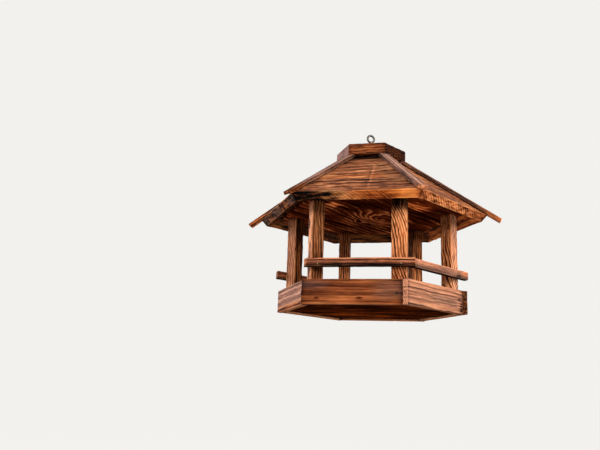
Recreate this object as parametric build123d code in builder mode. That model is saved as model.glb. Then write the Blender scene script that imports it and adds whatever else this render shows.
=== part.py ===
"""Hexagonal hanging bird feeder of charred and oiled softwood, in millimetres.

Z points up. The origin is the middle of the tray's underside, where the feeder
stands when it is set down. Side 0 faces -Y, and the sides are counted anticlockwise
as seen from above. Corner 0 lies between side 0 and side 1.
"""

from build123d import *
from math import atan, cos, radians, sin, tan
import os

# Whole shape
sides = 6
front_azimuth = -90.0

# Tray: six rim boards round a plywood floor
rim_apothem = 150.0
rim_height = 42.0
rim_thickness = 11.0
floor_thickness = 9.0
floor_recess = 3.0
floor_clearance = 0.3

# Posts in the corners of the tray, the front right one sawn wider
post_width = 22.0
front_post_width = 26.0
front_post_corner = 0
post_top = 182.0

# Rails nailed to the outside of the posts, in two pairs on neighbouring sides
rail_height = 14.5
rail_depth = 12.0
rail_bottom = 63.0
rail_end_proud = 8.0
rail_pairs = [("front", "front_right"), ("back", "back_left")]

# Ceiling board on the posts, its edge planed to the slope of the roof
ceiling_overhang = 9.0
ceiling_thickness = 12.0
ceiling_bevel = 3.0

# Roof: six boards, six battens over the joints between them
roof_pitch = 37.8
roof_thickness = 16.0
eave_overhang = 28.5
roof_top_apothem = 48.0
batten_width = 18.0
batten_thickness = 6.0
batten_overhangs = [1.0, 21.0, 7.0, 7.0, 21.0, 7.0]

# Cap block and screw eye
cap_apothem = 58.0
cap_thickness = 22.0
eye_wire = 4.0
eye_diameter = 18.0
eye_stem = 22.0
eye_screwed_in = 15.0
eye_bore_clearance = 0.1
eye_turn = 35.0

# Edges rubbed round by brushing
board_ease = 1.0
post_ease = 1.4
rail_ease = 0.8

# Worked out from the sizes above
half_turn = 180.0 / sides
lean = tan(radians(half_turn))
rim_inner = rim_apothem - rim_thickness
floor_top = floor_recess + floor_thickness
post_outer_edge = rim_inner * lean
rail_outer = rim_inner + rail_depth
ceiling_apothem = rim_inner + ceiling_overhang
ceiling_top = post_top + ceiling_thickness
pitch = radians(roof_pitch)
eave_apothem = ceiling_apothem + eave_overhang
eave_bottom = ceiling_top - ceiling_bevel - eave_overhang * tan(pitch)
eave_edge_apothem = eave_apothem + roof_thickness * sin(pitch)
eave_edge_height = eave_bottom + roof_thickness * cos(pitch)
cap_bottom = eave_edge_height + (eave_edge_apothem - roof_top_apothem) * tan(pitch)
cap_top = cap_bottom + cap_thickness
hip_slope = atan(tan(pitch) * cos(radians(half_turn)))
eave_corner_radius = eave_edge_apothem / cos(radians(half_turn))
eye_ring_radius = (eye_diameter - eye_wire) / 2
eye_centre = cap_top + eye_stem + eye_ring_radius
eye_azimuth = front_azimuth + 90 + eye_turn


def azimuth(side):
    """Direction that a side faces, in degrees."""
    return front_azimuth + side * 360.0 / sides


def direction(angle):
    """Level unit vector at an angle in degrees."""
    return Vector(cos(radians(angle)), sin(radians(angle)), 0)


def plan(angle, height=0.0):
    """Level plane whose local x runs outwards at the angle, and y runs to the left."""
    return Plane(origin=(0, 0, height), x_dir=direction(angle), z_dir=(0, 0, 1))


def upright(angle):
    """Upright plane through the middle, local x outwards at the angle, and y up."""
    return Plane(origin=(0, 0, 0), x_dir=direction(angle), z_dir=direction(angle - 90))


def across(apothem, out):
    """How far along a side its face line at apothem reaches the next side's line at out."""
    return (out - apothem * cos(radians(2 * half_turn))) / sin(radians(2 * half_turn))


def save(part, name):
    """Name a finished piece and write it."""
    part.label = name
    export_step(part, f"parts/{name}.step")


os.makedirs("parts", exist_ok=True)
side_names = ["front", "front_right", "back_right", "back", "back_left", "front_left"]
corner_names = ["right_front", "right", "right_back", "left_back", "left", "left_front"]

# Floor of the tray, let in between the rim boards a little above their lower edges
with BuildPart() as tray_floor:
    with BuildSketch(Plane.XY.offset(floor_recess)):
        RegularPolygon(rim_inner - floor_clearance, sides, major_radius=False)
    extrude(amount=floor_thickness)
save(tray_floor.part, "tray_floor")

# Rim boards: each butts on the back of the next one, whose square end shows beside it
rim_lap = rim_thickness * lean
for side in range(sides):
    with BuildPart() as rim_board:
        with BuildSketch(plan(azimuth(side))):
            with BuildLine():
                Polyline(
                    (rim_apothem, -rim_apothem * lean - rim_lap),
                    (rim_apothem, across(rim_apothem, rim_inner)),
                    (rim_inner, across(rim_inner, rim_inner)),
                    (rim_inner, -rim_apothem * lean - rim_lap),
                    close=True,
                )
            make_face()
        extrude(amount=rim_height)
        chamfer(rim_board.edges(), board_ease)
    save(rim_board.part, f"rim_board_{side_names[side]}")

# Posts: each lies flat on the back of one rim board, with an edge against the next board
for corner in range(sides):
    width = front_post_width if corner == front_post_corner else post_width
    with BuildPart() as post:
        with BuildSketch(plan(azimuth(corner), floor_top)):
            with Locations((rim_inner - width / 2, post_outer_edge - width / 2)):
                Rectangle(width, width)
        extrude(amount=post_top - floor_top)
        chamfer(post.edges().filter_by(Axis.Z), post_ease)
    save(post.part, f"post_{corner_names[corner]}")

# Rails: the left end of one covers the end of the next, and free ends are cut on the slant
rail_lap = rail_depth * lean
free_start = across(rail_outer, rim_apothem), across(rim_inner, rim_apothem)
slant_apothem = rim_apothem + rail_end_proud
free_end = across(rail_outer, slant_apothem), across(rim_inner, slant_apothem)
covered_start = across(rail_outer, rim_inner), across(rim_inner, rim_inner)
covering_end = rail_outer * lean + rail_lap, rail_outer * lean + rail_lap
rail_ends = {}
for covering_side, covered_side in rail_pairs:
    rail_ends[covering_side] = free_start, covering_end
    rail_ends[covered_side] = covered_start, free_end
for name, (start, end) in rail_ends.items():
    with BuildPart() as rail:
        with BuildSketch(plan(azimuth(side_names.index(name)), rail_bottom)):
            with BuildLine():
                Polyline(
                    (rail_outer, -start[0]),
                    (rail_outer, end[0]),
                    (rim_inner, end[1]),
                    (rim_inner, -start[1]),
                    close=True,
                )
            make_face()
        extrude(amount=rail_height)
        chamfer(rail.edges(), rail_ease)
    save(rail.part, f"rail_{name}")

# Ceiling board: the planed edge lies against the underside of the roof boards
with BuildPart() as ceiling:
    with BuildSketch(Plane.XY.offset(post_top)):
        RegularPolygon(ceiling_apothem, sides, major_radius=False)
    extrude(amount=ceiling_thickness - ceiling_bevel)
    with BuildSketch(Plane.XY.offset(ceiling_top - ceiling_bevel)):
        RegularPolygon(ceiling_apothem, sides, major_radius=False)
    extrude(amount=ceiling_bevel, taper=90 - roof_pitch)
save(ceiling.part, "ceiling_board")

# Roof boards: square edge at the eave, mitred at the hips, cut level under the cap
for side in range(sides):
    with BuildPart() as roof_board:
        with BuildSketch(upright(azimuth(side))):
            with BuildLine():
                Polyline(
                    (eave_apothem, eave_bottom),
                    (eave_edge_apothem, eave_edge_height),
                    (roof_top_apothem, cap_bottom),
                    (roof_top_apothem - roof_thickness / sin(pitch), cap_bottom),
                    close=True,
                )
            make_face()
        extrude(amount=eave_corner_radius, both=True)
        along_eave = Axis((0, 0, 0), direction(azimuth(side) + 90))
        chamfer(roof_board.edges().filter_by(along_eave).sort_by(Axis.Z)[:2], board_ease)
        for hand in (-1, 1):
            mitre = Plane(origin=(0, 0, 0), z_dir=direction(azimuth(side) + hand * (half_turn + 90)))
            split(bisect_by=mitre, keep=Keep.BOTTOM)
    save(roof_board.part, f"roof_board_{side_names[side]}")

# Hip battens: flat laths on the ridges between roof boards, with level seats for the cap
for corner in range(sides):
    tip = eave_corner_radius + batten_overhangs[corner]
    tip_height = eave_edge_height - batten_overhangs[corner] * tan(hip_slope)
    seat_inner = roof_top_apothem / cos(radians(half_turn))
    seat_outer = seat_inner + batten_thickness / sin(hip_slope)
    with BuildPart() as batten:
        with BuildSketch(upright(azimuth(corner) + half_turn)):
            with BuildLine():
                Polyline(
                    (tip, tip_height),
                    (tip + batten_thickness * sin(hip_slope), tip_height + batten_thickness * cos(hip_slope)),
                    (seat_outer, cap_bottom),
                    (seat_inner, cap_bottom),
                    close=True,
                )
            make_face()
        extrude(amount=batten_width / 2, both=True)
    save(batten.part, f"hip_batten_{corner_names[corner]}")

# Cap block that closes the top of the roof, bored for the screw eye
with BuildPart() as cap:
    with BuildSketch(Plane.XY.offset(cap_bottom)):
        RegularPolygon(cap_apothem, sides, major_radius=False)
    extrude(amount=cap_thickness)
    chamfer(cap.edges(), board_ease)
    with Locations((0, 0, cap_top)):
        Hole(eye_wire / 2 + eye_bore_clearance, depth=eye_screwed_in + eye_bore_clearance)
save(cap.part, "cap_block")

# Screw eye: a round steel ring on a stem, turned a little off the front
with BuildPart() as screw_eye:
    with BuildSketch(Plane.XY.offset(cap_top - eye_screwed_in)):
        Circle(eye_wire / 2)
    extrude(amount=eye_screwed_in + eye_stem + eye_wire / 2)
    with BuildSketch(plan(eye_azimuth, eye_centre)):
        with Locations((eye_ring_radius, 0)):
            Circle(eye_wire / 2)
    revolve(axis=Axis((0, 0, eye_centre), direction(eye_azimuth + 90)))
save(screw_eye.part, "screw_eye")
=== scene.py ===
"""Hexagonal bird feeder of charred, brushed and oiled softwood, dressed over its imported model."""

from math import atan, cos, pi, radians, sin, tan

import bmesh
import bpy
import numpy as np
from mathutils import Matrix, Vector


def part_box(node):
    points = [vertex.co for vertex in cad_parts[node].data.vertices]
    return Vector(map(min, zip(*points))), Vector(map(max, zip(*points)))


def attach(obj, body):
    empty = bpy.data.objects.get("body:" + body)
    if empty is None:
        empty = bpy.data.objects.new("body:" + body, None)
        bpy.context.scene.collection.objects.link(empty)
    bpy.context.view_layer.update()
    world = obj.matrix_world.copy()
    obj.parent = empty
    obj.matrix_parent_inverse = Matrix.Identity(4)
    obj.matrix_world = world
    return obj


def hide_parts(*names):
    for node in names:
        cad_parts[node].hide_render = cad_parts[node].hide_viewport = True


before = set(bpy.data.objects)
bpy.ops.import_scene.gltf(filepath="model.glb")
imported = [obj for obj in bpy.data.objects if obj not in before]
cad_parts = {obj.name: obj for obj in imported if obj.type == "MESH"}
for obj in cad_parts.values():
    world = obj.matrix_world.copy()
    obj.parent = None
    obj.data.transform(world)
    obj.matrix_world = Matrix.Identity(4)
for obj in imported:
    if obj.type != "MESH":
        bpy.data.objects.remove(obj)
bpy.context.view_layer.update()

# Tray floor. One hexagon of rotary-cut softwood plywood, scorched dark and oiled, let in
# between the rim boards. Its face veneer shows wide wavering figure from below.
MM = 0.001
level_axes = list(np.eye(3))
up = level_axes[2]
floor_lattice = 64
plate_layer = 1.2 * MM
plywood_edge_round = 0.7 * MM
end_soot_depth, edge_soot_depth, worn_edge = 3.5 * MM, 6 * MM, 1.3 * MM
floor_seed = 11


def paint(hex_code):
    """An sRGB hex colour as the linear colour that shaders take."""
    channels = [int(hex_code[place:place + 2], 16) / 255 for place in (1, 3, 5)]
    linear = [c / 12.92 if c <= 0.04045 else ((c + 0.055) / 1.055) ** 2.4 for c in channels]
    return (*linear, 1.0)


def bare_tree(owner):
    """The node tree of a material or a world, emptied."""
    owner.use_nodes = True
    owner.node_tree.nodes.clear()
    return owner.node_tree


def add(tree, kind, inputs=None, **settings):
    """Adds a node, with its settings, and each input linked to a socket or set to a value."""
    node = tree.nodes.new(kind)
    for name, value in settings.items():
        setattr(node, name, value)
    for socket, source in (inputs or {}).items():
        if isinstance(source, bpy.types.Node):
            source = source.outputs[0]
        if isinstance(source, bpy.types.NodeSocket):
            tree.links.new(source, node.inputs[socket])
        else:
            node.inputs[socket].default_value = source
    return node


def facing(angle):
    """Level unit vector at an angle in degrees."""
    return np.array([cos(radians(angle)), sin(radians(angle)), 0.0])


def ripple(points, wavelengths, seed, waves=7):
    """Smooth random field of about -1 to 1, with its own wavelength along each axis."""
    chance = np.random.default_rng(seed)
    total = np.zeros(len(points))
    for _ in range(waves):
        turn = chance.normal(size=3) / np.array(wavelengths)
        total += np.sin(2 * pi * (points @ turn) + chance.uniform(0, 2 * pi))
    return total / np.sqrt(waves)


def growth_rings(local, cut, seed):
    """Ring count at each point of a board, measured from the pith, and how near a knot it is.

    local is metres along, across and through the board. The grain leans off the board's length
    by lean, bends more towards the ends by bend, and leans on one face only where it is twisted.
    A knot, or a swell where rings bulge with no knot, is its place along and beside, its size
    and how many rings it shifts.
    """
    along, beside = local[:, 0], local[:, 1]
    long_wave = (150 * MM, 300 * MM, 300 * MM)
    turned = np.clip(0.5 + beside / cut["twist"], 0, 1) if "twist" in cut else 1.0
    shifted = []
    for axis in (0, 1):
        lean, bend = cut.get("lean", (0.0, 0.0))[axis], cut.get("bend", (0.0, 0.0))[axis]
        drift = (lean * along + bend * along ** 3) * (turned if axis else 1.0)
        wave = cut.get("sway", 2 * MM) * ripple(local, long_wave, seed + axis)
        shifted.append(local[:, 1 + axis] - cut["pith"][axis] - drift + wave)
    rings = np.hypot(*shifted) / cut["spacing"]
    rings += cut.get("waver", 0.16) * ripple(local, (45 * MM, 20 * MM, 20 * MM), seed + 2)
    knot = np.zeros(len(local))
    for kind, longer, wider in (("swells", 2.4, 1.3), ("knots", 1.9, 1.1)):
        for place, aside, size, strength in cut.get(kind, ()):
            away = ((along - place) / (longer * size)) ** 2 + ((beside - aside) / (wider * size)) ** 2
            rings += strength * np.exp(-away)
            if kind == "knots":
                knot = np.maximum(knot, np.exp(-away * 3.2))
    return rings, knot


def soften(points, normals, reaches, radius):
    """Rounds the edges between the flat sides, and gives each point its outward direction."""
    core = points.copy()
    for _ in range(5):
        for normal, reach in zip(normals, reaches):
            lack = np.maximum(radius - (reach - core @ normal), 0)
            core -= lack[:, None] * normal
    out = points - core
    out /= np.maximum(np.linalg.norm(out, axis=1), 1e-9)[:, None]
    return core + out * radius[:, None], out


def turned_to(out, direction):
    """How squarely each point faces a direction: 1 on that face and 0 on its neighbours."""
    return np.clip(5 * (out @ direction) - 4, 0, 1)


def timber_piece(name, node, material, skin, axes, origin, cut, seed):
    """One brushed piece of timber, which stands for its CAD node and carries its own grain.

    Relief only goes inwards, so the piece stays inside the solid that it stands for. cut holds
    how the board lay in the log, and its looks. Less than no grey is wood soaked in oil, which
    is a deeper orange. A mark is its place along and beside in metres, half its length and
    half its height, then how much paler, greyer and, if given, plainer it is. A face is its
    direction and the same three. Several marks and faces are painted light and shade: lit sides
    paler, shaded sides and undersides darker, and cast shadows painted dark. Wood that another
    piece covers, at the covered ends or on the bed, is left flat and sharp, so that joints close.
    """
    points, faces, (normals, reaches) = skin
    local = (points - origin) @ np.array(axes).T
    uneven = ripple(local, (30 * MM, 12 * MM, 12 * MM), seed + 5).clip(-1, 1.6)
    radius = cut.get("ease", 1.0 * MM) * (1 + 0.45 * uneven)
    depths = np.array([reach - points @ normal for normal, reach in zip(normals, reaches)])
    end_depth = depths[:2].min(axis=0)
    covered = np.zeros(len(points))
    if "covered_ends" in cut:
        covered = np.exp(-(end_depth / cut["covered_ends"]) ** 4)
    shaped, out = soften(points, normals, reaches, radius * (1 - 0.9 * covered))
    if "bed" in cut:
        covered = turned_to(out, cut["bed"])
    rings, knot = growth_rings(local, cut, seed)
    sooty = np.full(len(points), cut.get("scorch", 0.0))
    long_edge = np.sort(depths, axis=0)[1]
    if len(normals) == 6:
        long_edge = np.sort(depths[2:], axis=0)[1]
        on_end = np.clip(np.maximum(out @ normals[0], out @ normals[1]), 0, 1)
        sooty += cut.get("end_soot", 0.9) * np.exp(-end_depth / end_soot_depth) * (1 - on_end)
    sooty += cut.get("edge_soot", 0.0) * np.exp(-long_edge / edge_soot_depth)
    bare = cut.get("edge_wear", 0.5) * np.exp(-(long_edge / worn_edge) ** 2)
    tone = np.full(len(points), cut.get("tone", 0.0))
    grey = np.full(len(points), cut.get("grey", 0.0))
    figure = np.ones(len(points))
    wander = 0.7 * MM * ripple(local, (70 * MM, 90 * MM, 90 * MM), seed + 8)
    for along, beside, length, height, paler, greyer, *plainer in cut.get("marks", ()):
        off_along, off_beside = local[:, 0] - along, local[:, 1] + wander - beside
        inside = np.exp(-(off_along / length) ** 4 - (off_beside / height) ** 4)
        tone += paler * inside
        grey += greyer * inside
        figure -= sum(plainer) * inside
        sooty *= 1 - inside * np.clip(paler, 0, 1)
    for direction, paler, greyer, plainer in cut.get("faces", ()):
        toward = turned_to(out, direction)
        tone += paler * toward
        grey += greyer * toward
        figure -= plainer * toward
    if "saw_cut" in cut:
        direction, along_rate, through_rate = cut["saw_cut"]
        rings += turned_to(out, direction) * (along_rate * local[:, 0] + through_rate * local[:, 2])
    # The hard late wood stands proud of the soft wood, which the brush has worn back.
    crest = 0.5 - 0.5 * np.cos(2 * pi * (rings - 0.36))
    brushed = 0.75 + 0.25 * ripple(local, (25 * MM,) * 3, seed + 6)
    relief = cut.get("relief", 0.25 * MM) * (1 - crest) * brushed
    dents = 0.35 * MM * np.clip(ripple(local, (18 * MM, 9 * MM, 9 * MM), seed + 7) - 0.9, 0, 1)
    shaped -= out * (np.maximum(relief + dents, 0) * (1 - covered))[:, None]
    mesh = bpy.data.meshes.new(name)
    mesh.from_pydata(shaped.tolist(), [], faces.tolist())
    mesh.polygons.foreach_set("use_smooth", np.ones(len(mesh.polygons), bool))
    values = {"rings": rings, "knot": knot, "soot": sooty, "bare": bare, "tone": tone,
              "grey": grey.clip(-1, 1), "figure": figure}
    for key, value in values.items():
        mesh.attributes.new(key, "FLOAT", "POINT").data.foreach_set("value", value.astype(np.float32))
    place = (local + np.random.default_rng(seed + 9).uniform(-1, 1, 3)).astype(np.float32)
    mesh.attributes.new("timber", "FLOAT_VECTOR", "POINT").data.foreach_set("vector", place.ravel())
    mesh.materials.append(material)
    piece = bpy.data.objects.new(name, mesh)
    bpy.context.scene.collection.objects.link(piece)
    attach(piece, "root")
    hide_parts(node)


def hexagon_plate(levels, rings):
    """Points, faces and flat sides of a closed hexagonal plate, from (height, apothem) levels."""
    corners = [facing(60 * k - 60)[:2] for k in range(6)]
    lattice, index = [np.zeros(2)], {(0, 0): 0}
    for ring in range(1, rings + 1):
        for step in range(6 * ring):
            corner, part = divmod(step, ring)
            start, end = corners[corner], corners[(corner + 1) % 6]
            index[ring, step] = len(lattice)
            lattice.append((start + (end - start) * part / ring) * ring / rings)
    triangles = []
    for ring in range(1, rings + 1):
        for step in range(6 * ring):
            corner, part = divmod(step, ring)
            after = index[ring, (step + 1) % (6 * ring)]
            below = ring - 1
            inner = index[below, (corner * below + part) % (6 * below)] if below else 0
            triangles.append((index[ring, step], after, inner))
            if part:
                before = index[below, (corner * below + part - 1) % (6 * below)] if below else 0
                triangles.append((index[ring, step], inner, before))
    lattice = np.array(lattice)
    top = np.array(triangles)
    scale = 1 / cos(radians(30))
    count = len(lattice)
    rim = [index[rings, step] for step in range(6 * rings)]
    points = [np.column_stack([lattice * apothem * scale, np.full(count, height)])
              for height, apothem in (levels[0], levels[-1])]
    rows = [rim]
    total = 2 * count
    for (z0, a0), (z1, a1) in zip(levels, levels[1:]):
        layers = max(2, round(abs(z1 - z0) / plate_layer))
        for layer in range(1, layers + 1):
            if layer == layers and (z1, a1) == levels[-1]:
                break
            share = layer / layers
            outline = lattice[rim] * (a0 + (a1 - a0) * share) * scale
            points.append(np.column_stack([outline, np.full(len(rim), z0 + (z1 - z0) * share)]))
            rows.append([total + i for i in range(len(rim))])
            total += len(rim)
    rows.append([count + r for r in rim])
    faces = [tuple(t[::-1]) for t in top] + [tuple(t + count) for t in top]
    for lower, upper in zip(rows, rows[1:]):
        for i in range(len(rim)):
            j = (i + 1) % len(rim)
            faces.append((lower[i], lower[j], upper[j]))
            faces.append((lower[i], upper[j], upper[i]))
    normals, reaches = [-up, up], [-levels[0][0], levels[-1][0]]
    for (z0, a0), (z1, a1) in zip(levels, levels[1:]):
        for k in range(6):
            outward = facing(60 * k - 90)[:2]
            normal = np.array([*(outward * (z1 - z0)), a0 - a1]) / np.hypot(z1 - z0, a0 - a1)
            normals.append(normal)
            reaches.append(normal[:2] @ outward * a0 + normal[2] * z0)
    return np.vstack(points), np.array(faces), (normals, reaches)


def timber(name, burn, silver, figure, fleck, mottle, rough, shine, broad=1.0):
    """Torched, brushed and oiled softwood, of which the brush has bared the soft wood.

    burn is its colours from rubbed pale to charred, and silver the grey that weather turns it.
    The same grey also lays a painted sheen on some faces and boards, where it stands for the
    pale backdrop's reflection. Hard late wood stays as narrow dark lines, soot stays at board
    ends and knots, and edges are rubbed pale. Streaks are drawn 3.6 mm wide and flecks 2 mm by
    14 mm, or broad times as wide where a slope would hide them. Fibres are drawn 1 mm wide, some
    thirty times as coarse as real ones, to show at all.
    """
    material = bpy.data.materials.new(name)
    tree = bare_tree(material)
    place = add(tree, "ShaderNodeAttribute", attribute_name="timber").outputs["Vector"]
    value = {key: add(tree, "ShaderNodeAttribute", attribute_name=key).outputs["Fac"]
             for key in ("rings", "knot", "soot", "bare", "tone", "grey", "figure")}
    # Each noise: cells in a metre along the grain and across it, its detail, and the range of
    # raw noise that is spread over 0 to 1.
    noises = {"streak": (9.0, 280.0 / broad, 3.5, 0.36, 0.64),
              "patch": (11.0, 30.0, 3.0, 0.36, 0.64),
              "fibre": (60.0, 1000.0 / broad, 3.0, 0.3, 0.7),
              "dash": (70.0, 450.0 / broad, 3.5, 0.48, 0.68),
              "gleam": (18.0 * broad, 360.0 / broad, 3.0, 0.36, 0.64)}
    spread = {}
    for key, (length_rate, width_rate, detail, low, high) in noises.items():
        stretch = (length_rate, width_rate, width_rate)
        scaled = add(tree, "ShaderNodeVectorMath", {0: place, 1: stretch}, operation="MULTIPLY")
        raw = add(tree, "ShaderNodeTexNoise", {"Vector": scaled, "Scale": 1.0, "Detail": detail})
        spread[key] = add(tree, "ShaderNodeMapRange", {0: raw, 1: low, 2: high}).outputs[0]
    # Late wood: dark near the end of each ring, stronger in some years than in others.
    ring = add(tree, "ShaderNodeMath", {0: value["rings"]}, operation="FRACT")
    late = add(tree, "ShaderNodeValToRGB", {"Fac": ring})
    stops = late.color_ramp.elements
    stops[0].position, stops[0].color = 0.0, (0.0, 0.0, 0.0, 1.0)
    stops[1].position, stops[1].color = 1.0, (0.1, 0.1, 0.1, 1.0)
    for position, level in ((0.35, 0.06), (0.66, 0.42), (0.84, 1.0), (0.94, 0.9)):
        stop = stops.new(position)
        stop.color = (level, level, level, 1.0)
    apart = add(tree, "ShaderNodeSeparateXYZ", {0: place})
    reach = add(tree, "ShaderNodeMath", {0: apart.outputs[0], 1: 7.0}, operation="MULTIPLY")
    year = add(tree, "ShaderNodeMath", {0: value["rings"], 1: 0.85}, operation="MULTIPLY")
    season = add(tree, "ShaderNodeCombineXYZ", {0: year, 1: reach})
    season = add(tree, "ShaderNodeTexNoise", {"Vector": season, "Scale": 1.0, "Detail": 1.0})
    season = add(tree, "ShaderNodeMapRange", {0: season, 1: 0.36, 2: 0.62, 3: 0.3, 4: 1.0})
    broken = add(tree, "ShaderNodeMath", {0: spread["streak"], 1: 0.55, 2: 0.55}, operation="MULTIPLY_ADD")
    line = add(tree, "ShaderNodeMath", {0: late, 1: season}, operation="MULTIPLY")
    line = add(tree, "ShaderNodeMath", {0: line, 1: broken}, operation="MULTIPLY")
    drawn = add(tree, "ShaderNodeMath", {0: value["figure"], 1: figure}, operation="MULTIPLY")
    line = add(tree, "ShaderNodeMath", {0: line, 1: drawn}, operation="MULTIPLY")
    # How dark: lines, blotches, flecks, soot and knots add up, and rubbing takes some away.
    stain = add(tree, "ShaderNodeMath", {0: spread["streak"], 1: 0.7 * mottle, 2: 0.3 * mottle},
                operation="MULTIPLY_ADD")
    stain = add(tree, "ShaderNodeMath", {0: stain, 1: spread["patch"], 2: line}, operation="MULTIPLY_ADD")
    flecked = add(tree, "ShaderNodeMath", {0: value["figure"], 1: fleck}, operation="MULTIPLY")
    dark = add(tree, "ShaderNodeMath", {0: spread["dash"], 1: flecked, 2: stain}, operation="MULTIPLY_ADD")
    sooted = add(tree, "ShaderNodeMath", {0: spread["streak"], 1: 0.5, 2: 0.65}, operation="MULTIPLY_ADD")
    dark = add(tree, "ShaderNodeMath", {0: sooted, 1: value["soot"], 2: dark}, operation="MULTIPLY_ADD")
    dark = add(tree, "ShaderNodeMath", {0: value["knot"], 1: 0.8, 2: dark},
               operation="MULTIPLY_ADD", use_clamp=True)
    rubbed = add(tree, "ShaderNodeMath", {0: spread["streak"], 1: value["bare"]}, operation="MULTIPLY")
    dark = add(tree, "ShaderNodeMath", {0: dark, 1: rubbed}, operation="SUBTRACT", use_clamp=True)
    wood = add(tree, "ShaderNodeValToRGB", {"Fac": dark})
    stops = wood.color_ramp.elements
    stops[0].position, stops[0].color = 0.0, paint(burn[0])
    stops[1].position, stops[1].color = 1.0, paint(burn[3])
    for position, colour in ((0.32, burn[1]), (0.68, burn[2])):
        stop = stops.new(position)
        stop.color = paint(colour)
    # Weather and a painted sheen grey the lighter wood, and oil soaks the rest to a deeper orange.
    lighter = add(tree, "ShaderNodeMath", {0: dark, 1: -0.8, 2: 1.0}, operation="MULTIPLY_ADD")
    weather_and_sheen = add(tree, "ShaderNodeMath", {0: lighter, 1: value["grey"]}, operation="MULTIPLY")
    wood = add(tree, "ShaderNodeMix", {0: weather_and_sheen, 6: wood, 7: paint(silver)}, data_type="RGBA").outputs[2]
    soaked = add(tree, "ShaderNodeMath", {0: value["grey"], 1: -1.0}, operation="MULTIPLY", use_clamp=True)
    wood = add(tree, "ShaderNodeMix", {0: soaked, 6: wood, 7: paint("#ffdb8a")},
               data_type="RGBA", blend_type="MULTIPLY").outputs[2]
    lift = add(tree, "ShaderNodeMath", {0: spread["fibre"], 1: 0.34, 2: 0.65}, operation="MULTIPLY_ADD")
    lift = add(tree, "ShaderNodeMath", {0: spread["gleam"], 1: 0.44, 2: lift}, operation="MULTIPLY_ADD")
    lift = add(tree, "ShaderNodeMath", {0: lift, 1: value["tone"]}, operation="ADD")
    lift = add(tree, "ShaderNodeCombineColor", {0: lift, 1: lift, 2: lift})
    wood = add(tree, "ShaderNodeMix", {0: 1.0, 6: wood, 7: lift},
               data_type="RGBA", blend_type="MULTIPLY").outputs[2]
    matt = add(tree, "ShaderNodeMapRange", {0: spread["fibre"], 3: rough - 0.08, 4: rough + 0.1})
    height = add(tree, "ShaderNodeMath", {0: spread["fibre"], 1: dark}, operation="ADD")
    bump = add(tree, "ShaderNodeBump", {"Strength": 0.55, "Distance": 0.4 * MM, "Height": height})
    oiled = add(tree, "ShaderNodeBsdfPrincipled", {"Base Color": wood, "Roughness": matt, "Normal": bump})
    oiled.inputs["IOR"].default_value = 1.47
    oiled.inputs["Specular IOR Level"].default_value = shine
    add(tree, "ShaderNodeOutputMaterial", {"Surface": oiled})
    return material


# Torched plywood veneer, oiled: a near-black red-brown with wide soft bands and no gloss.
scorched_plywood = timber(
    "scorched_softwood_plywood", ("#8a431a", "#4c200c", "#281006", "#120603"), "#6b5048",
    figure=0.8, fleck=0.3, mottle=0.9, rough=0.75, shine=0.0, broad=2.0)
low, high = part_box("tray_floor")
plate = hexagon_plate([(low.z, high.y), (high.z, high.y)], floor_lattice)
floor_cut = {"spacing": 8 * MM, "pith": (0.30, -0.09), "lean": (0.12, 0.05), "sway": 9 * MM,
             "ease": plywood_edge_round, "relief": 0.15 * MM, "tone": -0.42, "grey": -0.5,
             "edge_soot": 0.35, "edge_wear": 0.0,
             "marks": [(-0.02, 0.05, 0.11, 0.06, 0.40, 0.0), (0.0, -0.11, 0.2, 0.03, -0.1, 0.0)]}
timber_piece("tray_floor_veneer", "tray_floor", scorched_plywood, plate, level_axes,
             up * low.z, floor_cut, floor_seed)

# Tray rim. Six boards sawn from spruce, burnt with a torch, brushed along the grain and oiled.
# Each is square-cut at one end, where it laps the next board round the tray.
side_names = ["front", "front_right", "back_right", "back", "back_left", "front_left"]
rim_step, rim_edge = (2.6 * MM, 0.9 * MM, 1.3 * MM), 1.6 * MM
rim_middle = 21 * MM
rim_seed = 30
whole = 0.5


def stripe(beside, half_height, paler, greyer=0.0):
    """A mark that runs the whole length of a board."""
    return 0.0, beside, whole, half_height, paler, greyer


# The side boards' grey is weathering and also a painted sheen, the pale backdrop's reflection on boards
# that face left and right.
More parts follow.
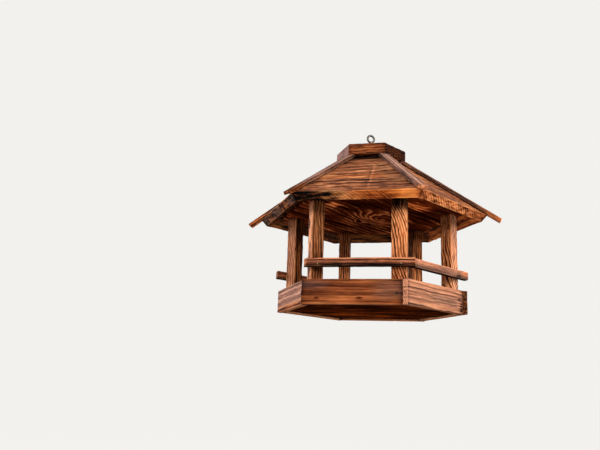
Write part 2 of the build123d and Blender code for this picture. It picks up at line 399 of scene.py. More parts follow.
rim_cuts = {
    "front": {"spacing": 4.9 * MM, "pith": (0.070, -0.020), "lean": (0.006, 0.0),
              "tone": -0.37, "grey": -0.08, "scorch": 0.30,
              "knots": [(-0.0675, -0.011, 2.4 * MM, 0.8), (0.0039, -0.0106, 2.6 * MM, 0.9)],
              "marks": [(-0.075, 0.012, 0.030, 0.009, -0.02, 0.30),
                        (0.058, 0.003, 0.034, 0.018, -0.14, 0.30, 0.3),
                        (0.0, -0.0125, 0.042, 0.0065, 0.24, 0.0), (-0.03, 0.015, 0.050, 0.004, 0.12, 0.0),
                        stripe(0.0195, 0.0016, -0.2), stripe(0.0016, 0.0008, -0.2),
                        stripe(-0.0062, 0.0008, -0.2), (-0.01, 0.0092, whole, 0.0008, -0.2, 0.0)]},
    "front_right": {"spacing": 3.5 * MM, "pith": (-0.075, -0.016), "lean": (-0.012, 0.0),
                    "tone": -0.18, "grey": 0.40,
                    "marks": [stripe(0.016, 0.004, 0.25), (0.020, -0.003, 0.046, 0.008, -0.32, 0.15),
                              (0.077, -0.009, 0.012, 0.012, -0.75, 0.0),
                              (-0.02, -0.016, 0.05, 0.004, 0.2, 0.0),
                              stripe(0.0094, 0.0008, 0.5, 0.1), stripe(0.0074, 0.0009, -0.35),
                              stripe(0.0046, 0.0007, 0.35, 0.1), stripe(0.0022, 0.0008, -0.3),
                              stripe(-0.0012, 0.0007, 0.4, 0.1), stripe(-0.0060, 0.0007, 0.35, 0.1),
                              stripe(-0.0085, 0.0008, -0.3), stripe(-0.0112, 0.0007, 0.35, 0.1)]},
    "back_right": {"spacing": 3.4 * MM, "pith": (0.070, 0.018), "lean": (0.012, 0.0),
                   "tone": -0.05, "grey": 0.25,
                   "marks": [stripe(0.0060, 0.0012, -0.3), stripe(-0.0110, 0.0011, -0.3)]},
    "back": {"spacing": 3.8 * MM, "pith": (-0.072, -0.022), "lean": (-0.01, 0.0),
             "tone": -0.1, "grey": 0.12,
             "knots": [(0.031, 0.006, 3.2 * MM, 1.2)], "marks": [stripe(-0.0040, 0.0012, -0.3)]},
    "back_left": {"spacing": 3.2 * MM, "pith": (0.074, -0.015), "lean": (0.012, 0.0),
                  "tone": 0.05, "grey": 0.3,
                  "marks": [stripe(0.0100, 0.0010, -0.3), (-0.02, -0.010, 0.05, 0.006, 0.15, 0.0)]},
    "front_left": {"spacing": 4.7 * MM, "pith": (-0.075, -0.018), "lean": (0.015, 0.0),
                   "tone": -0.16, "grey": 0.55,
                   "marks": [stripe(-0.017, 0.005, 0.08, -0.5), stripe(0.0130, 0.0013, 0.5, 0.1),
                             stripe(0.0095, 0.0010, -0.35), stripe(0.0015, 0.0013, 0.5, 0.1),
                             stripe(-0.0065, 0.0011, -0.3)]},
}
rim_plainer = {"front": 0.6, "front_right": 0.15}
# The back right board's end face is painted dark: painted shade, where that end sits in shadow at the right
# corner.
rim_end_looks = {"back_right": (-0.80, -0.3, 0.0)}


def chosen_sides(node, axes):
    """Six planes of a CAD node: the largest flat side that looks each way along each axis."""
    mesh = bmesh.new()
    mesh.from_mesh(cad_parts[node].data)
    mesh.normal_update()
    known = []
    for face in mesh.faces:
        normal, area = np.array(face.normal), face.calc_area()
        reach = normal @ np.array(face.verts[0].co)
        for side in known:
            if side[0] @ normal > 0.9999 and abs(side[1] - reach) < 0.05 * MM:
                side[2] += area
                break
        else:
            known.append([normal, reach, area])
    mesh.free()
    chosen = []
    for axis in axes:
        for sign in (-1, 1):
            toward = [side for side in known if sign * (side[0] @ np.array(axis)) > 0.45]
            chosen.append(max(toward, key=lambda side: side[2]))
    return [side[0] for side in chosen], [side[1] for side in chosen]


def steps(length, spacing, edge):
    """Shares of a length from 0 to 1, closer together within edge of both ends."""
    fine = np.array([0.0, 0.2, 0.45, 0.75, 1.0]) * edge / length
    count = max(2, round((length - 2 * edge) / spacing))
    coarse = np.linspace(fine[-1], 1 - fine[-1], count + 1)
    return np.unique(np.concatenate([fine, coarse, 1 - fine]).round(9))


def six_sided(node, axes, spacing, edge):
    """Points, faces and sides of a close grid over a six-sided CAD node."""
    normals, reaches = chosen_sides(node, axes)
    corners = np.zeros((2, 2, 2, 3))
    for i in range(2):
        for j in range(2):
            for k in range(2):
                picked = [i, 2 + j, 4 + k]
                planes = np.array([normals[p] for p in picked])
                corners[i, j, k] = np.linalg.solve(planes, [reaches[p] for p in picked])
    spans = []
    for axis in range(3):
        start, end = np.moveaxis(corners, axis, 0).reshape(2, 4, 3).mean(axis=1)
        spans.append(np.linalg.norm(end - start))
    a, b, c = (steps(span, gap, edge) for span, gap in zip(spans, spacing))
    shape = (len(a), len(b), len(c))
    skin = np.zeros(shape, bool)
    skin[[0, -1]] = skin[:, [0, -1]] = skin[:, :, [0, -1]] = True
    number = np.full(shape, -1)
    number[skin] = np.arange(skin.sum())
    i, j, k = np.nonzero(skin)
    weights = [np.stack([1 - s, s], axis=1) for s in (a[i], b[j], c[k])]
    points = np.einsum("ni,nj,nk,ijkd->nd", *weights, corners)
    faces = []
    for axis in range(3):
        for end in (0, -1):
            sheet = np.take(number, end, axis=axis)
            quads = np.stack([sheet[:-1, :-1], sheet[1:, :-1], sheet[1:, 1:], sheet[:-1, 1:]], axis=-1)
            quads = quads.reshape(-1, 4)
            outward = (end == -1) != (axis == 1)
            faces.append(quads if outward else quads[:, ::-1])
    return points, np.vstack(faces), (normals, reaches)


# Torched spruce with its char brushed thin: warm brown, close straight lines, a faint sheen.
rim_spruce = timber(
    "torched_brushed_spruce_rim", ("#cc8450", "#96502a", "#4e220e", "#1a0b06"), "#a88c80",
    figure=1.05, fleck=0.16, mottle=0.26, rough=0.62, shine=0.04)
for side, name in enumerate(side_names):
    along = facing(60 * side)
    axes = [along, up, np.cross(along, up)]
    node = f"rim_board_{name}"
    end_look = rim_end_looks.get(name, (0.20, -0.1, 0.3))
    # The -up entry paints each board's underside darker: painted shade under the tray.
    cut = rim_cuts[name] | {"faces": [(-along, *end_look), (-up, -0.4, -0.3, 0.5),
                                      (axes[2], 0.0, 0.0, rim_plainer.get(name, 0.0))],
                            "sway": 0.4 * MM, "waver": 0.03}
    skin = six_sided(node, axes, rim_step, rim_edge)
    timber_piece(f"{node}_brushed", node, rim_spruce, skin, axes, up * rim_middle, cut,
                 rim_seed + side)

# Corner posts. Square spruce sticks with steep grain, scorched less than the rim, so they stay
# the lightest orange. They stand on the floor, screwed to the backs of the rim boards.
corner_names = ["right_front", "right", "right_back", "left_back", "left", "left_front"]
post_step, post_edge = (2.4 * MM, 0.9 * MM, 0.9 * MM), 2 * MM
post_middle = 97 * MM
post_seed = 50
# Some faces and one mark here are painted light and shade: the right post's right face and the left front
# post's left face paler and greyer as lit sides, the right faces of the left and left front posts darker as
# shaded sides, and the top of the right front post darkened as the eave's painted shadow.
post_cuts = {
    "right_front": {"spacing": 4.0 * MM, "pith": (-0.020, -0.055), "lean": (0.0, -0.17),
                    "bend": (0.0, -28.0), "tone": -0.04, "grey": 0.0, "waver": 0.1, "sway": 1 * MM,
                    "marks": [(0.083, 0.0, 0.020, whole, -0.85, 0.0)]},
    "right": {"spacing": 4.2 * MM, "pith": (-0.030, -0.050), "lean": (0.0, -0.38), "twist": 24 * MM,
              "tone": -0.04, "faces": [(facing(-30), 0.54, 0.40, -0.5)]},
    "right_back": {"spacing": 3.4 * MM, "pith": (0.040, 0.030), "lean": (0.03, 0.02), "tone": -0.38},
    "left_back": {"spacing": 3.6 * MM, "pith": (0.020, 0.050), "lean": (0.02, 0.03), "tone": -0.15,
                  "sway": 1 * MM},
    "left": {"spacing": 3.4 * MM, "pith": (0.045, -0.035), "lean": (-0.02, 0.02), "tone": -0.02,
             "sway": 1 * MM, "faces": [(facing(-120), 0.02, 0.25, 0.0), (facing(-30), -0.66, -0.4, 0.0)]},
    "left_front": {"spacing": 4.4 * MM, "pith": (-0.060, -0.016), "lean": (0.0, 0.12), "twist": 24 * MM,
                   "sway": 2 * MM, "tone": -0.38, "grey": 0.05,
                   "faces": [(facing(-150), 0.70, 0.30, -0.6), (facing(-60), -0.28, -0.2, 0.3)]},
}
# The same spruce burnt more lightly: orange between strong dark lines of late wood.
post_spruce = timber(
    "torched_brushed_spruce_posts", ("#e39a66", "#a95f34", "#4e230f", "#180a05"), "#b3937f",
    figure=1.3, fleck=0.34, mottle=0.45, rough=0.6, shine=0.04)
for corner, name in enumerate(corner_names):
    across = facing(-90 + 60 * corner)
    axes = [up, across, np.cross(up, across)]
    node = f"post_{name}"
    low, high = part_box(node)
    centre = np.array([(low.x + high.x) / 2, (low.y + high.y) / 2, post_middle])
    cut = post_cuts[name] | {"ease": 1.5 * MM, "relief": 0.35 * MM, "end_soot": 0.5}
    skin = six_sided(node, axes, post_step, post_edge)
    timber_piece(f"{node}_brushed", node, post_spruce, skin, axes, centre, cut,
                 post_seed + corner)

# Perch rails. Four spruce laths nailed to the outside of the posts in two pairs, with the
# burnt skin rubbed off along the top. Their lower half and underside keep the dark burnt skin
# and are painted darker still, as painted shade below each rail.
rail_step, rail_edge = (2.4 * MM, 0.9 * MM, 0.9 * MM), 1.2 * MM
rail_middle = 70.25 * MM
rail_seed = 70
# Each rail's first stripe darkens its lower half: painted shade.
rail_marks = {
    "front": [stripe(-0.0055, 0.0040, -0.93), stripe(0.0054, 0.0009, 0.5, 0.1),
              stripe(0.0031, 0.0013, -0.8), stripe(0.0007, 0.0009, 0.5, 0.1),
              stripe(0.0073, 0.0009, -0.6), (-0.09, 0.0, 0.004, 0.006, 0.5, 0.0)],
    "front_right": [stripe(-0.0062, 0.0048, -0.72, 0.3), (0.083, 0.002, 0.007, 0.006, 0.35, -0.3),
                    stripe(0.0064, 0.0010, 0.25), (0.030, 0.001, 0.030, 0.0030, -0.22, 0.2),
                    (0.0626, -0.0013, 0.0070, 0.0045, -0.45, 0.0)],
    "back": [stripe(-0.0056, 0.0034, -0.6), stripe(0.0058, 0.0012, 0.4)],
    "back_left": [stripe(-0.0060, 0.0030, -0.5, 0.1), stripe(0.0030, 0.0009, -0.35)]}
rail_looks = {"front": (-0.04, 0.1), "front_right": (0.16, 0.45),
              "back": (-0.04, 0.1), "back_left": (-0.30, 0.1)}
# Spruce laths burnt darker than the posts: red-brown, with soft lines and a faint sheen.
rail_spruce = timber(
    "torched_brushed_spruce_rails", ("#c47c4e", "#8a4a2a", "#4c2414", "#160a06"), "#94776a",
    figure=0.5, fleck=0.38, mottle=0.4, rough=0.6, shine=0.04)
for name, marks in rail_marks.items():
    side = side_names.index(name)
    along = facing(60 * side)
    axes = [along, up, np.cross(along, up)]
    node = f"rail_{name}"
    tone, grey = rail_looks[name]
    # The -up face is painted darker: painted shade under the rail.
    cut = {"spacing": 4.4 * MM, "pith": (0.035, -0.020), "lean": (0.004, 0.0), "ease": 0.9 * MM,
           "marks": marks, "tone": tone, "grey": grey, "end_soot": 0.2, "edge_wear": 0.6,
           "sway": 0.5 * MM, "waver": 0.06, "faces": [(-up, -0.6, 0.0, 0.5), (up, 0.0, 0.2, 0.0)]}
    skin = six_sided(node, axes, rail_step, rail_edge)
    timber_piece(f"{node}_brushed", node, rail_spruce, skin, axes, up * rail_middle, cut,
                 rail_seed + side)

# Ceiling. One sheet of plywood on the posts, its edge planed to the roof's slope. The face
# veneer is peeled round the log past several knots, which gives nested pointed figure.
bevel_height, bevel_width = 3.0 * MM, 3.868 * MM
ceiling_lattice = 84
ceiling_seed = 90
low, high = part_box("ceiling_board")
levels = [(low.z, high.y), (high.z - bevel_height, high.y), (high.z, high.y - bevel_width)]
ceiling_axes = [facing(63), facing(153), up]
ceiling_cut = {"spacing": 15 * MM, "pith": (0.75, 0.10), "sway": 3 * MM, "ease": plywood_edge_round,
               "relief": 0.35 * MM, "waver": 0.12, "tone": 0.06, "grey": -0.35, "scorch": 0.36,
               "edge_wear": 0.0,
               "swells": [(0.028, -0.006, 22 * MM, 4.5), (0.024, 0.040, 8 * MM, 1.6),
                          (-0.040, -0.120, 18 * MM, 2.0)],
               "marks": [(0.020, 0.005, 0.062, 0.045, 0.22, 0.0, -2.1),
                         # The next mark paints an orange patch on the ceiling at the front right: a painted
                         # pool of light.
                         (-0.020, -0.114, 0.036, 0.020, 1.0, -0.3),
                         (-0.1125, 0.0005, 0.016, 0.009, 1.3, -0.2),
                         (0.075, 0.065, 0.050, 0.035, -0.4, 0.0),
                         (0.080, -0.100, 0.050, 0.040, -0.35, 0.0)]}
# Peeled veneer, torched and oiled: dark red-brown, with its figure paler than the ground.
figured_plywood = timber(
    "scorched_figured_plywood", ("#d08052", "#602812", "#321109", "#150704"), "#71564e",
    figure=-0.5, fleck=0.1, mottle=0.7, rough=0.75, shine=0.0, broad=2.0)
timber_piece("ceiling_veneer", "ceiling_board", figured_plywood,
             hexagon_plate(levels, ceiling_lattice), ceiling_axes, up * low.z, ceiling_cut, ceiling_seed)

# Roof. Six spruce boards cut to trapezoids with the grain level, mitred at the hips and square
# at the eave, where the saw-cut edge is scorched only lightly.
roof_step, roof_edge = (2.3 * MM, 1.35 * MM, 1.5 * MM), 1.8 * MM
roof_pitch = radians(37.8)
eave_reach, eave_height = 186.31 * MM, 181.54 * MM
saw_lines_along, saw_lines_through = 130.0, 150.0
roof_seed = 110
roof_cuts = {
    "front": {"spacing": 17 * MM, "pith": (-0.16, -0.050), "lean": (0.03, 0.0), "sway": 3 * MM,
              "tone": -0.26, "grey": 0.10,
              "marks": [(-0.005, 0.067, 0.062, 0.009, 0.42, -0.15, 0.65),
                        (0.020, 0.062, 0.0014, 0.060, 0.45, 0.1),
                        (0.016, 0.066, 0.0015, 0.040, -0.4, 0.0), (0.058, 0.080, 0.034, 0.035, -0.15, 0.0),
                        # This stripe paints the top of the front board dark: the cap's shadow, painted.
                        stripe(0.176, 0.023, -0.88),
                        (0.010, 0.117, 0.040, 0.0035, -0.5, 0.0), (0.0, 0.048, 0.080, 0.0030, -0.72, 0.0),
                        (0.0, 0.054, 0.080, 0.0020, 0.35, 0.2), (0.0, 0.026, 0.090, 0.006, 0.2, 0.0),
                        stripe(0.0070, 0.0024, -0.4), (-0.030, 0.136, 0.022, 0.010, 0.25, 0.0),
                        (-0.010, 0.083, 0.055, 0.0022, -0.5, 0.0), (0.020, 0.090, 0.050, 0.0030, 0.30, 0.0),
                        (-0.010, 0.101, 0.045, 0.0020, -0.5, 0.0), (0.0, 0.108, 0.040, 0.0030, 0.30, 0.0),
                        (0.0, 0.131, 0.030, 0.0022, -0.5, 0.0), (0.010, 0.035, 0.080, 0.0018, -0.5, 0.0),
                        (-0.010, 0.041, 0.080, 0.0020, 0.30, 0.0), (0.0, 0.019, 0.090, 0.0018, -0.4, 0.0),
                        # These paint the front board's eave edge darker at the left, as painted shade, and
                        # paler and more orange at the right.
                        (-0.090, -0.0005, 0.064, 0.0036, -0.82, 0.0, -0.8),
                        (0.058, -0.0005, 0.062, 0.0036, 0.26, -0.5, -0.1),
                        (0.090, -0.0005, 0.024, 0.0036, 0.04, 0.0, 0.5)]},
    "front_right": {"spacing": 14 * MM, "pith": (-0.14, -0.045), "lean": (0.04, 0.0),
                    "tone": -0.22, "grey": 0.05},
    "back_right": {"spacing": 14 * MM, "pith": (0.30, -0.060), "lean": (-0.03, 0.0),
                   "tone": 0.0, "grey": 0.2,
                   "knots": [(-0.03, 0.05, 4 * MM, 2.0)]},
    "back": {"spacing": 15 * MM, "pith": (-0.15, -0.070), "lean": (-0.04, 0.0),
             "tone": -0.03, "grey": 0.15,
             "knots": [(0.04, 0.08, 4.5 * MM, 2.0)]},
    "back_left": {"spacing": 13 * MM, "pith": (0.32, -0.050), "lean": (0.03, 0.0),
                  "tone": 0.02, "grey": 0.25},
    "front_left": {"spacing": 13 * MM, "pith": (-0.13, -0.060), "lean": (0.05, 0.0),
                   "tone": 0.02, "grey": 0.35,
                   "marks": [(0.045, -0.0005, 0.028, 0.0036, 0.22, -0.5),
                             (-0.050, -0.0005, 0.018, 0.0036, 0.22, -0.4)]},
}
# The left front board's eave edge is painted dark: painted shade.
eave_looks = {"front": (0.05, -0.35, 0.5), "front_right": (0.08, -0.15, -0.3),
              "back_right": (0.1, 0.0, 0.4), "back": (0.1, 0.0, 0.4),
              "back_left": (-0.1, 0.2, 0.4), "front_left": (-0.78, 0.1, -0.7)}
# Each board's underside is painted darker and less grey: painted shade under the roof.
usual_underside_shade = (-0.78, -0.9, 0.4)
underside_shade_looks = {"back_right": (0.10, -0.9, 0.3), "front_left": (-0.92, -0.9, 0.4),
                   "back": (-0.76, -0.9, 0.8)}
# Sawn spruce brushed across a wide face: orange-brown, broken by short dark flecks and streaks.
roof_spruce = timber(
    "torched_brushed_spruce_roof", ("#dc9661", "#a25d36", "#54260e", "#1b0b06"), "#b39788",
    figure=0.6, fleck=0.40, mottle=0.62, rough=0.62, shine=0.04, broad=2.2)
for side, name in enumerate(side_names):
    outward, along = facing(-90 + 60 * side), facing(60 * side)
    upslope = -cos(roof_pitch) * outward + sin(roof_pitch) * up
    axes = [along, upslope, np.cross(along, upslope)]
    node = f"roof_board_{name}"
    eave = outward * eave_reach + up * eave_height
    underside = underside_shade_looks.get(name, usual_underside_shade)
    cut = roof_cuts[name] | {"ease": 1.2 * MM, "relief": 0.22 * MM, "waver": 0.05, "end_soot": 0.6,
                             "covered_ends": 8 * MM,
                             "saw_cut": (-upslope, saw_lines_along, saw_lines_through),
                             "faces": [(-upslope, *eave_looks[name]), (-axes[2], *underside)]}
    skin = six_sided(node, axes, roof_step, roof_edge)
    timber_piece(f"{node}_brushed", node, roof_spruce, skin, axes, eave, cut, roof_seed + side)

# Hip battens. Flat laths nailed down the ridges between the roof boards. They take the weather
# first and have greyed over the char, except for the last stretch of some, which is painted
# paler and more orange, partly as painted light on tips that lie in shade. Their sides and long
# edges are painted dark, as char and as painted shade beside the roof.
batten_step, batten_edge = (2.2 * MM, 0.9 * MM, 1.0 * MM), 1.2 * MM
batten_fall = atan(tan(roof_pitch) * cos(radians(30)))
batten_seed = 130
# Each tip: its length, and how much paler and greyer it is; the paler tips are partly painted light.
batten_tips = {"right_front": (0.010, 0.3, -0.3), "right": (0.040, 0.75, -0.7),
               "right_back": (0.006, 0.0, 0.0), "left_back": (0.006, 0.0, 0.0),
               "left": (0.044, 0.70, -0.9), "left_front": (0.040, 0.0, -0.6)}
# Spruce left in the weather: brown under a thin mauve-grey film, and quite matt.
batten_spruce = timber(
    "greyed_torched_spruce_battens", ("#bd7f58", "#8b5334", "#472415", "#170b07"), "#a98f86",
    figure=0.9, fleck=0.3, mottle=0.5, rough=0.75, shine=0.0)
for corner, name in enumerate(corner_names):
    outward, across = facing(-60 + 60 * corner), facing(30 + 60 * corner)
    along = cos(batten_fall) * outward - sin(batten_fall) * up
    axes = [along, across, np.cross(along, across)]
    node = f"hip_batten_{name}"
    skin = six_sided(node, axes, batten_step, batten_edge)
    tip_reach = skin[2][1][1]
    length, paler, greyer = batten_tips[name]
    # The side faces are painted darker: painted shade beside the roof, on char.
    cut = {"spacing": 4.6 * MM, "pith": (0.030, -0.018), "lean": (0.004, 0.0), "grey": 0.6, "tone": 0.08,
           "ease": 0.9 * MM, "end_soot": 0.2, "edge_soot": 0.30, "edge_wear": 0.2, "sway": 0.6 * MM,
           "waver": 0.06, "bed": -axes[2],
           "marks": [(0.0, 0.0, length, whole, paler, greyer), stripe(-0.0046, 0.0012, -0.7),
                     stripe(0.0044, 0.0012, -0.7), stripe(-0.0005, 0.0020, 0.25, 0.1)],
           "faces": [(along, paler, greyer, 0.5), (across, -0.5, -0.3, 0.0), (-across, -0.5, -0.3, 0.0)]}
    timber_piece(f"{node}_brushed", node, batten_spruce, skin, axes, along * tip_reach, cut,
                 batten_seed + corner)

# Cap. A thick block of spruce that closes the top of the roof and holds the screw eye. It is
# cut to the roof's hexagon, and its six sides are torched like the boards.
low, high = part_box("cap_block")
cap_lattice = 44
cap_seed = 150
# The cap's right face is painted dark, partly char and partly painted shade, and its left face is painted
# greyer, a painted sheen.
cap_cut = {"spacing": 5 * MM, "pith": (0.0, -0.25), "lean": (0.0, 0.03), "ease": 1.4 * MM, "tone": -0.08,
           "edge_soot": 0.4, "edge_wear": 0.2, "sway": 1.5 * MM,
           "faces": [(facing(-90), -0.04, 0.0, 0.0), (facing(-150), 0.10, 0.75, 0.3),
                     (facing(-30), -0.74, -0.7, 0.0), (up, 0.0, 0.35, 0.3)]}
# Thick torched spruce: red-brown along the grain, darker and dotted where the rings end.
cap_spruce = timber(
    "torched_brushed_spruce_cap", ("#bb6f3c", "#874826", "#472010", "#180a06"), "#947d78",
    figure=0.7, fleck=0.42, mottle=0.6, rough=0.6, shine=0.04)
timber_piece("cap_block_brushed", "cap_block", cap_spruce,
             hexagon_plate([(low.z, high.y), (high.z, high.y)], cap_lattice), level_axes,
             up * (low.z + high.z) / 2, cap_cut, cap_seed)

# Fixings. Bright wire nails hold each rail to its posts, and a dark countersunk screw with a
# cross recess holds each rim board to the post behind it. Places are mm along and up.
nail_head = {"Head Radius": 1.2 * MM, "Head Height": 1.0 * MM, "Sunk": 0.5 * MM,
             "Slot Width": 0.0, "Slot Depth": 0.0}
screw_head = {"Head Radius": 2.5 * MM, "Head Height": 1.6 * MM, "Sunk": 1.4 * MM,
              "Slot Width": 0.7 * MM, "Slot Depth": 0.7 * MM}
rail_face, rim_face = 151, 150
nail_spots = [("front", -66.5, 67.6), ("front", 71.8, 67.6), ("front_right", 62.6, 68.9),
              ("back", -66.5, 67.6), ("back", 71.8, 67.6), ("back_left", 62.6, 68.9)]
screw_spots = [("front", 64.6, 18.9), ("front_right", 63.0, 24.0), ("back_right", 64.0, 21.5),
               ("back", 64.6, 18.9), ("back_left", 63.0, 24.0), ("front_left", 64.0, 21.5)]
head_corners = 14
shank_share = 0.55
slot_share = 1.25
most_spin, spin_seed = 1.5, 7


def fixing_heads(name, spots, face, sizes, material):
    """Heads of nails or screws in upright faces, each turned about its own axis by chance."""
    tree = bpy.data.node_groups.new(name, "GeometryNodeTree")
    tree.interface.new_socket("Geometry", in_out="INPUT", socket_type="NodeSocketGeometry")
    for key in sizes:
        tree.interface.new_socket(key, in_out="INPUT", socket_type="NodeSocketFloat")
    tree.interface.new_socket("Geometry", in_out="OUTPUT", socket_type="NodeSocketGeometry")
    given = add(tree, "NodeGroupInput")
    size = {key: given.outputs[key] for key in sizes}
    shank = add(tree, "ShaderNodeMath", {0: size["Head Radius"], 1: shank_share}, operation="MULTIPLY")
    head = add(tree, "GeometryNodeMeshCone",
               {"Vertices": head_corners, "Side Segments": 1, "Radius Top": size["Head Radius"],
                "Radius Bottom": shank, "Depth": size["Head Height"]})
    sunk = add(tree, "ShaderNodeMath", {0: 0.0, 1: size["Sunk"]}, operation="SUBTRACT")
    lowered = add(tree, "ShaderNodeCombineXYZ", {2: sunk})
    head = add(tree, "GeometryNodeTransform", {"Geometry": head, "Translation": lowered})
    long_slot = add(tree, "ShaderNodeMath", {0: size["Head Radius"], 1: slot_share}, operation="MULTIPLY")
    recessed = add(tree, "GeometryNodeMeshBoolean", {0: head}, operation="DIFFERENCE", solver="EXACT")
    top = add(tree, "ShaderNodeMath", {0: size["Head Height"], 1: size["Sunk"]}, operation="SUBTRACT")
    for turn in (0.0, pi / 2):
        bar = add(tree, "ShaderNodeCombineXYZ",
                  {0: long_slot, 1: size["Slot Width"], 2: size["Slot Depth"]})
        bar = add(tree, "GeometryNodeMeshCube", {"Size": bar})
        place = add(tree, "ShaderNodeCombineXYZ", {2: top})
        bar = add(tree, "GeometryNodeTransform",
                  {"Geometry": bar, "Translation": place, "Rotation": (0.0, 0.0, turn)})
        tree.links.new(bar.outputs[0], recessed.inputs[1])
    slotted = add(tree, "FunctionNodeCompare", {0: size["Slot Width"], 1: 0.0},
                  operation="GREATER_THAN", data_type="FLOAT")
    shape = add(tree, "GeometryNodeSwitch", {"Switch": slotted, "False": head, "True": recessed},
                input_type="GEOMETRY")
    outward = add(tree, "GeometryNodeInputNamedAttribute", {"Name": "outward"}, data_type="FLOAT_VECTOR")
    aim = add(tree, "FunctionNodeAlignRotationToVector", {"Vector": outward}, axis="Z")
    spin = add(tree, "FunctionNodeRandomValue", {2: 0.0, 3: most_spin, "Seed": spin_seed},
               data_type="FLOAT").outputs[1]
    spin = add(tree, "ShaderNodeCombineXYZ", {2: spin})
    aim = add(tree, "FunctionNodeRotateRotation", {"Rotation": aim, "Rotate By": spin},
              rotation_space="LOCAL")
    heads = add(tree, "GeometryNodeInstanceOnPoints",
                {"Points": given.outputs["Geometry"], "Instance": shape, "Rotation": aim})
    real = add(tree, "GeometryNodeRealizeInstances", {0: heads})
    finished = add(tree, "GeometryNodeSetMaterial", {"Geometry": real, "Material": material})
    add(tree, "NodeGroupOutput", {0: finished})
    places, outwards = [], []
    for side_name, along, height in spots:
        side = side_names.index(side_name)
        outwards.append(facing(-90 + 60 * side))
        places.append(outwards[-1] * face * MM + facing(60 * side) * along * MM + up * height * MM)
    mesh = bpy.data.meshes.new(f"{name}_places")
    mesh.from_pydata([tuple(place) for place in places], [], [])
    aims = mesh.attributes.new("outward", "FLOAT_VECTOR", "POINT")
    aims.data.foreach_set("vector", np.concatenate(outwards))
    piece = bpy.data.objects.new(name, mesh)
    bpy.context.scene.collection.objects.link(piece)
    maker = piece.modifiers.new(name, "NODES")
    maker.node_group = tree
    for socket in tree.interface.items_tree:
        if socket.in_out == "INPUT" and socket.name in sizes:
            maker[socket.identifier] = sizes[socket.name]
    made = bpy.data.meshes.new_from_object(piece.evaluated_get(bpy.context.evaluated_depsgraph_get()))
    piece.modifiers.remove(maker)
    piece.data = made
    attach(piece, "root")


def plated_steel(name, bright, dull, bloom_scale, rough):
    """Zinc-plated or bare steel, dulled in blotches of one to three millimetres."""
    material = bpy.data.materials.new(name)
    tree = bare_tree(material)
    spot = add(tree, "ShaderNodeTexCoord").outputs["Object"]
    bloom = add(tree, "ShaderNodeTexNoise", {"Vector": spot, "Scale": bloom_scale, "Detail": 4.0})
    tint = add(tree, "ShaderNodeMix", {0: bloom, 6: paint(bright), 7: paint(dull)},
               data_type="RGBA").outputs[2]
    matt = add(tree, "ShaderNodeMapRange", {0: bloom, 3: rough - 0.1, 4: rough + 0.2})
    steel = add(tree, "ShaderNodeBsdfPrincipled", {"Base Color": tint, "Roughness": matt})
    steel.inputs["Metallic"].default_value = 1.0
    add(tree, "ShaderNodeOutputMaterial", {"Surface": steel})
    return material


# Zinc plate dulled by oil and weather: warm grey heads with a soft glint.
rail_zinc = plated_steel("dulled_zinc_plated_nails", "#9a8468", "#65523c", bloom_scale=900.0, rough=0.5)
# Steel blackened by the torch: nearly black, and barely shining.
sooty_steel = plated_steel("sooty_steel_screws", "#37302e", "#1d1817", bloom_scale=700.0, rough=0.6)
fixing_heads("rail_nails", nail_spots, rail_face, nail_head, rail_zinc)
fixing_heads("rim_screws", screw_spots, rim_face, screw_head, sooty_steel)

# Screw eye. Zinc-plated steel wire bent into a ring on a stem, which is screwed into the middle
# of the cap. Weather has dulled it to a dark grey with a soft glint.
dull_zinc = plated_steel("weathered_zinc_plated_eye", "#6d6863", "#3f3a37", bloom_scale=350.0, rough=0.42)
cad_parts["screw_eye"].material_slots[0].material = dull_zinc

# Stage, light and camera. A pale floor below the hanging feeder, a soft box at each side and a
# weaker one in front, and the view that the feeder is seen from.
floor_drop, floor_half = 0.75, 40.0
floor_glow, floor_glow_share = 1.15, 0.85
room_light, backdrop_light = 0.20, 1.0
camera_place = (0.1617, -1.1964, -0.1174)
camera_heading, camera_rise, camera_roll = -0.2443, 0.2292, 0.0365
camera_sensor, camera_lens = 36.0, 39.03
# The camera sees the floor mostly as a plain glow, and the rest of it keeps the shadow.
pale_floor = bpy.data.materials.new("pale_floor")
tree = bare_tree(pale_floor)
matt = add(tree, "ShaderNodeBsdfDiffuse", {"Color": paint("#e4e2de")})
glow = add(tree, "ShaderNodeEmission", {"Color": paint("#f2f1ee"), "Strength": floor_glow})
ray = add(tree, "ShaderNodeLightPath")
seen = add(tree, "ShaderNodeMath", {0: ray.outputs["Is Camera Ray"], 1: floor_glow_share},
           operation="MULTIPLY")
shown = add(tree, "ShaderNodeMixShader", {0: seen, 1: matt, 2: glow})
add(tree, "ShaderNodeOutputMaterial", {"Surface": shown})
ground = bpy.data.meshes.new("floor")
floor_corners = [(x * floor_half, y * floor_half, -floor_drop)
                 for x, y in ((-1, -1), (1, -1), (1, 1), (-1, 1))]
ground.from_pydata(floor_corners, [], [(0, 1, 2, 3)])
ground.materials.append(pale_floor)
stage_floor = bpy.data.objects.new("floor", ground)
bpy.context.scene.collection.objects.link(stage_floor)

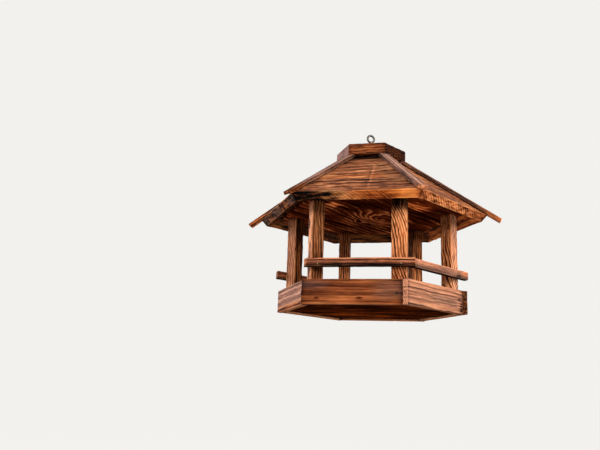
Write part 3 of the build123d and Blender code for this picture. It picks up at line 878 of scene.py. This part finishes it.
# The room adds a weak even light, while the camera and reflections see a pale backdrop.
studio = bpy.data.worlds.new("studio")
bpy.context.scene.world = studio
tree = bare_tree(studio)
room = add(tree, "ShaderNodeBackground", {"Color": paint("#f1f2f4"), "Strength": room_light})
backdrop = add(tree, "ShaderNodeBackground", {"Color": paint("#f2f1ee"), "Strength": backdrop_light})
ray = add(tree, "ShaderNodeLightPath")
direct = add(tree, "ShaderNodeMath", {0: ray.outputs["Is Camera Ray"], 1: ray.outputs["Is Glossy Ray"]},
             operation="MAXIMUM")
direct = add(tree, "ShaderNodeMath", {0: direct, 1: ray.outputs["Is Transmission Ray"]},
             operation="MAXIMUM")
mixed = add(tree, "ShaderNodeMixShader", {0: direct, 1: room, 2: backdrop})
add(tree, "ShaderNodeOutputWorld", {"Surface": mixed})

# Each soft box: its place, its width in metres, its watts and its colour.
middle = Vector((0, 0, 0.17))
soft_boxes = {"right_box": ((2.1, -0.7, 0.85), 1.2, 56.0, "#fff4e8"),
              "left_box": ((-2.1, -0.8, 0.9), 1.3, 50.0, "#f4f5ff"),
              "front_box": ((0.35, -2.5, 0.80), 0.5, 34.0, "#fffaf4")}
for name, (place, width, power, colour) in soft_boxes.items():
    light = bpy.data.lights.new(name, "AREA")
    light.size, light.energy, light.color = width, power, paint(colour)[:3]
    lamp = bpy.data.objects.new(name, light)
    aim = (middle - Vector(place)).to_track_quat("-Z", "Y").to_matrix().to_4x4()
    lamp.matrix_world = Matrix.Translation(place) @ aim
    bpy.context.scene.collection.objects.link(lamp)

ahead = Vector((sin(camera_heading) * cos(camera_rise), cos(camera_heading) * cos(camera_rise),
                sin(camera_rise)))
level = ahead.cross(Vector((0, 0, 1))).normalized()
upright = level.cross(ahead)
right = cos(camera_roll) * level + sin(camera_roll) * upright
top = -sin(camera_roll) * level + cos(camera_roll) * upright
camera = bpy.data.objects.new("camera", bpy.data.cameras.new("camera"))
camera.data.sensor_width, camera.data.lens = camera_sensor, camera_lens
camera.matrix_world = Matrix.Translation(camera_place) @ Matrix((right, top, -ahead)).transposed().to_4x4()
bpy.context.scene.collection.objects.link(camera)
bpy.context.scene.camera = camera
bpy.context.scene.view_settings.view_transform = "Standard"
